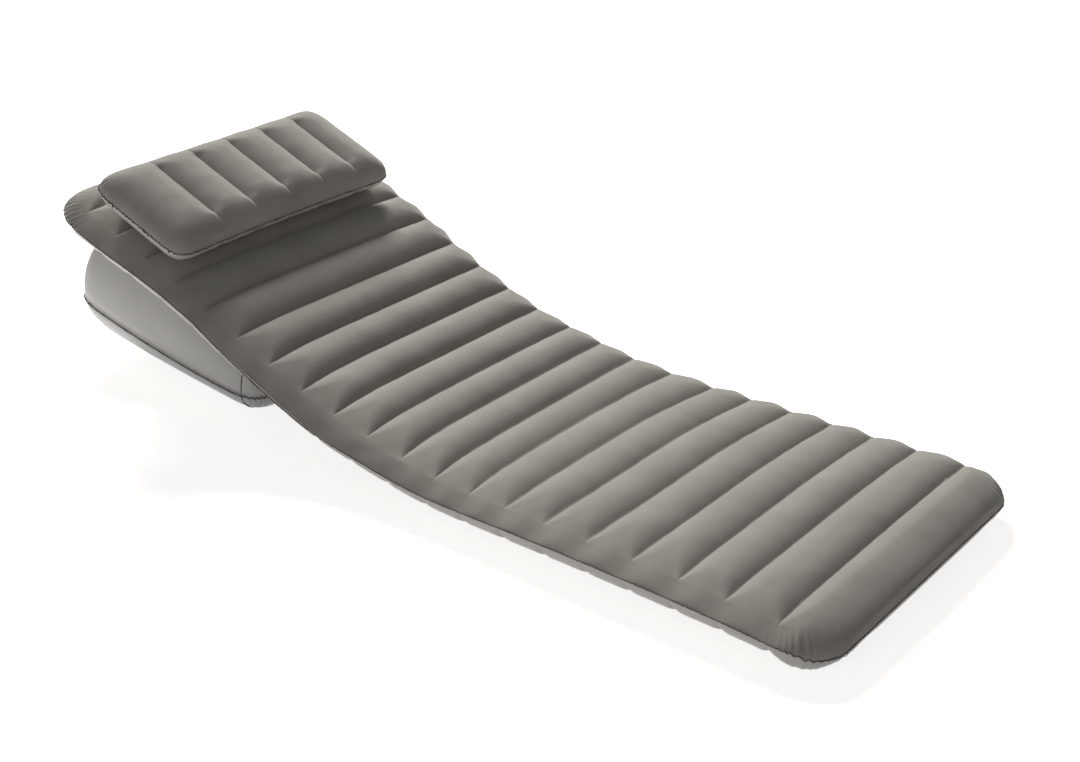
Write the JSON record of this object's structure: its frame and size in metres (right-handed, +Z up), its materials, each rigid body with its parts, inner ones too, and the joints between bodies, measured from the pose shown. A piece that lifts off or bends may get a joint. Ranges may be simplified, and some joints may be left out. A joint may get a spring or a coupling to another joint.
{
  "type": "inflatable air mattress",
  "caption": "Channelled air mattress bent up over an air wedge as a lounge bed, with an air pillow on its back; flocked tops, smooth plastic undersides.",
  "frame": {"origin": "on the floor, under the middle of the whole bed's box", "axes": "+X towards the foot end, +Y towards the side away from the pictured one, +Z up"},
  "size_m": [1.8994, 0.7204, 0.472],
  "materials": {
    "flocked_sheet": "matte",
    "plain_sheet": "satin",
    "web": "satin",
    "valve": "satin",
    "flap": "matte"
  },
  "bodies": {
    "seat": {"seat_top_sheet": "flocked_sheet", "seat_bottom_sheet": "plain_sheet", "mattress_web_01": "web", "mattress_web_02": "web", "mattress_web_03": "web", "mattress_web_04": "web", "mattress_web_05": "web", "mattress_web_06": "web", "mattress_web_07": "web", "mattress_web_08": "web", "mattress_web_09": "web"},
    "bend": {"bend_top_sheet": "flocked_sheet", "bend_bottom_sheet": "plain_sheet", "mattress_web_10": "web", "mattress_web_11": "web", "mattress_web_12": "web"},
    "back": {"back_top_sheet": "flocked_sheet", "back_bottom_sheet": "plain_sheet", "mattress_web_13": "web", "mattress_web_14": "web", "mattress_web_15": "web", "mattress_web_16": "web", "mattress_web_17": "web", "mattress_web_18": "web", "mattress_web_19": "web", "mattress_web_20": "web", "mattress_valve_body": "valve"},
    "wedge": {"wedge_top_sheet": "plain_sheet", "wedge_bottom_sheet": "plain_sheet", "wedge_web_1": "web", "wedge_web_2": "web", "wedge_web_3": "web", "wedge_web_4": "web", "wedge_valve_body": "valve"},
    "pillow": {"pillow_top_sheet": "flocked_sheet", "pillow_bottom_sheet": "plain_sheet", "pillow_web_1": "web", "pillow_web_2": "web", "pillow_web_3": "web", "pillow_web_4": "web", "pillow_web_5": "web", "pillow_valve_body": "valve"},
    "mattress_cap": {"mattress_valve_cap": "valve"},
    "pillow_cap": {"pillow_valve_cap": "valve"},
    "wedge_cap": {"wedge_valve_cap": "valve"},
    "mattress_flap": {"mattress_valve_flap": "flap"},
    "pillow_flap": {"pillow_valve_flap": "flap"},
    "wedge_flap": {"wedge_valve_flap": "flap"}
  },
  "joints": [
    {"name": "wedge_slide", "type": "slide", "parent": "seat", "child": "wedge", "axis": [-1, 0, 0], "range_m": [0, 1]},
    {"name": "first_bend", "type": "hinge", "parent": "seat", "child": "bend", "pos_m": [0.12574, 0, 0.01965], "axis": [0, -1, 0], "range_deg": [0, 10.5]},
    {"name": "second_bend", "type": "hinge", "parent": "bend", "child": "back", "pos_m": [-0.13974, 0, 0.06885], "axis": [0, -1, 0], "range_deg": [0, 11.3]},
    {"name": "pillow_lift", "type": "slide", "parent": "back", "child": "pillow", "axis": [0.3714, 0, 0.9285], "range_m": [0, 0.25]},
    {"name": "mattress_cap_hinge", "type": "hinge", "parent": "back", "child": "mattress_cap", "pos_m": [-0.60769, 0.35192, 0.26272], "axis": [0.347, 0.356, 0.8677], "range_deg": [0, 135]},
    {"name": "pillow_cap_hinge", "type": "hinge", "parent": "pillow", "child": "pillow_cap", "pos_m": [-0.77599, 0.14716, 0.425], "axis": [-0.0959, 0.0049, -0.9954], "range_deg": [0, 135]},
    {"name": "wedge_cap_hinge", "type": "hinge", "parent": "wedge", "child": "wedge_cap", "pos_m": [-0.93617, 0.11, 0.05986], "axis": [0, 1, 0], "range_deg": [0, 135]},
    {"name": "mattress_flap_hinge", "type": "hinge", "parent": "back", "child": "mattress_flap", "pos_m": [-0.60222, 0.34456, 0.26356], "axis": [-0.347, -0.356, -0.8677], "range_deg": [0, 40], "stiffness_Nm_per_rad": 0.01, "springref_deg": -5.73},
    {"name": "pillow_flap_hinge", "type": "hinge", "parent": "pillow", "child": "pillow_flap", "pos_m": [-0.76793, 0.14277, 0.42421], "axis": [0.0959, -0.0049, 0.9954], "range_deg": [0, 40], "stiffness_Nm_per_rad": 0.01, "springref_deg": -5.73},
    {"name": "wedge_flap_hinge", "type": "hinge", "parent": "wedge", "child": "wedge_flap", "pos_m": [-0.927, 0.11, 0.05903], "axis": [0, -1, 0], "range_deg": [0, 40], "stiffness_Nm_per_rad": 0.01, "springref_deg": -5.73}
  ],
  "couplings": [
    {"joint": "first_bend", "follows": "wedge_slide", "rad_per_m": 0.18325},
    {"joint": "second_bend", "follows": "wedge_slide", "rad_per_m": 0.1972}
  ]
}
